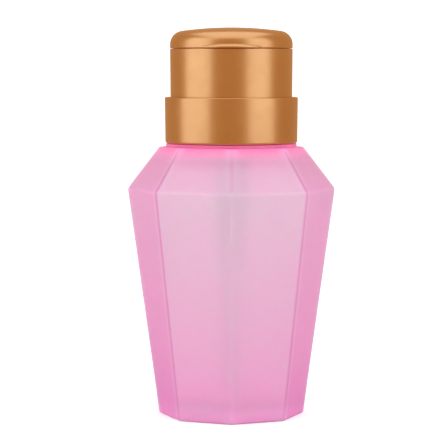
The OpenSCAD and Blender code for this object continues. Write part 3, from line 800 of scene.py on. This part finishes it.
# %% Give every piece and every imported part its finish
finish_of = {"frosted_pink": frost, "satin_gold": gold, "natural_plastic": white, "seal": seal, "steel": steel}
slot_of = {part["node"]: part["material_slot"] for part in frame["record"]["subparts"]}
for node_name, obj in frame["nodes"].items():
    for material_slot in obj.material_slots:
        # The parts inside the bottle get the painted-shade grey instead of their own finish.
        in_bottle = node_name in ("pump_housing", "dip_tube", "ball_cage")
        material_slot.material = grey_shaded_plastic if in_bottle else finish_of[slot_of[node_name]]
# The pump's body and tube also get the painted-shade grey instead of natural plastic.
for obj, slot_name in [(bottle, "frosted_pink"), (collar, "satin_gold"), (sleeve, "satin_gold"), (lid, "satin_gold"),
                       (dish, "natural_plastic"), (nozzle, "natural_plastic"), (plug, "seal"), (pin, "steel"),
                       (cap, "natural_plastic"), (washer, "seal"), (body, "natural_plastic"), (tube, "natural_plastic"),
                       (spring, "steel")]:
    obj.data.materials.clear()
    obj.data.materials.append(grey_shaded_plastic if obj in (body, tube) else finish_of[slot_name])
    print(obj.name, "is finished in", slot_name)

# %% [markdown]
# ## The studio
# Two tall soft boxes stand in front of the bottle, one to each side, and leave the strip between them
# dark, which gives the gold its two bright bands. White all round comes through the frosted plastic and
# lights it from behind, so the surroundings are white to whatever looks through the bottle, and grey to
# a reflection, because a metal that mirrors white everywhere looks flat.

# %% Floor
clear_selection()
bpy.ops.mesh.primitive_circle_add(vertices=64, radius=4, fill_type="NGON", location=(0, 0, 0))
floor = bpy.context.object
floor.name = "studio_floor"
paper, shader = new_finish("pale_paper", Roughness=0.9, Specular_IOR_Level=0.1)
paper_place = object_place(paper)
link(paper, ramp(paper, noise(paper, paper_place, 120, 3), [(0.3, (0.955, 0.955, 0.955)), (0.7, (0.97, 0.97, 0.97))]),
     shader.inputs["Base Color"])
floor.data.materials.append(paper)
floor.visible_glossy = False
floor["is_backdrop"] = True


# %% Lights
def soft_box(name, azimuth, distance, width, tall, height, power):
    """A rectangular light that faces the bottle. Azimuth 0 is in front, and 90 is to the right."""
    angle = math.radians(azimuth)
    x, y = distance * math.sin(angle), -distance * math.cos(angle)
    bpy.ops.object.light_add(type="AREA", location=(x, y, height), rotation=(math.pi / 2, 0, angle))
    light = bpy.context.object
    light.name = name
    light.data.shape = "RECTANGLE"
    light.data.size, light.data.size_y = width, tall
    light.data.energy = power
    light.data.color = (0.88, 0.95, 1.0)
    light.visible_camera = False
    light.visible_transmission = False
    return light


left_box = soft_box("left_soft_box", -66, 0.8, 0.85, 1.0, 0.35, 2.35)
right_box = soft_box("right_soft_box", 53, 0.8, 0.72, 1.0, 0.35, 1.95)

top_box = soft_box("top_soft_box", 0, 0.15, 1.3, 1.3, 1.0, 4.0)
clear_selection()
top_box.select_set(True)
bpy.ops.object.rotation_clear()

world = bpy.data.worlds.new("white_studio")
bpy.context.scene.world = world
world.use_nodes = True
background = world.node_tree.nodes["Background"]
path = world.node_tree.nodes.new("ShaderNodeLightPath")
shade = world.node_tree.nodes.new("ShaderNodeMix")
shade.data_type = "RGBA"
shade.inputs["A"].default_value = (1, 1, 1, 1)
shade.inputs["B"].default_value = (0.453, 0.236, 0.10, 1)
mirrored = world.node_tree.nodes.new("ShaderNodeMath")
mirrored.operation = "MULTIPLY"
world.node_tree.links.new(path.outputs["Is Glossy Ray"], mirrored.inputs[0])
world.node_tree.links.new(path.outputs["Is Reflection Ray"], mirrored.inputs[1])
world.node_tree.links.new(mirrored.outputs[0], shade.inputs["Factor"])
world.node_tree.links.new(shade.outputs["Result"], background.inputs["Color"])
background.inputs["Strength"].default_value = 1.27

# %% Camera
scene = bpy.context.scene
scene.view_settings.view_transform = "Standard"
clear_selection()
aim = (-2.47 * MM, 0, 64.35 * MM)
stand = (-2.47 * MM, -680 * MM, 118 * MM)
pitch_down = math.atan2(stand[2] - aim[2], aim[1] - stand[1])
bpy.ops.object.camera_add(location=stand, rotation=(math.pi / 2 - pitch_down, 0, 0))
camera = bpy.context.object
camera.data.lens = 162.1
camera.data.sensor_width = 36
camera.data.clip_end = 20
scene.camera = camera

# %% The CAD and visual sizes, as the cell's last value
{"cad": [list(corner) for corner in cad_box], "visual": [list(corner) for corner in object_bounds()]}
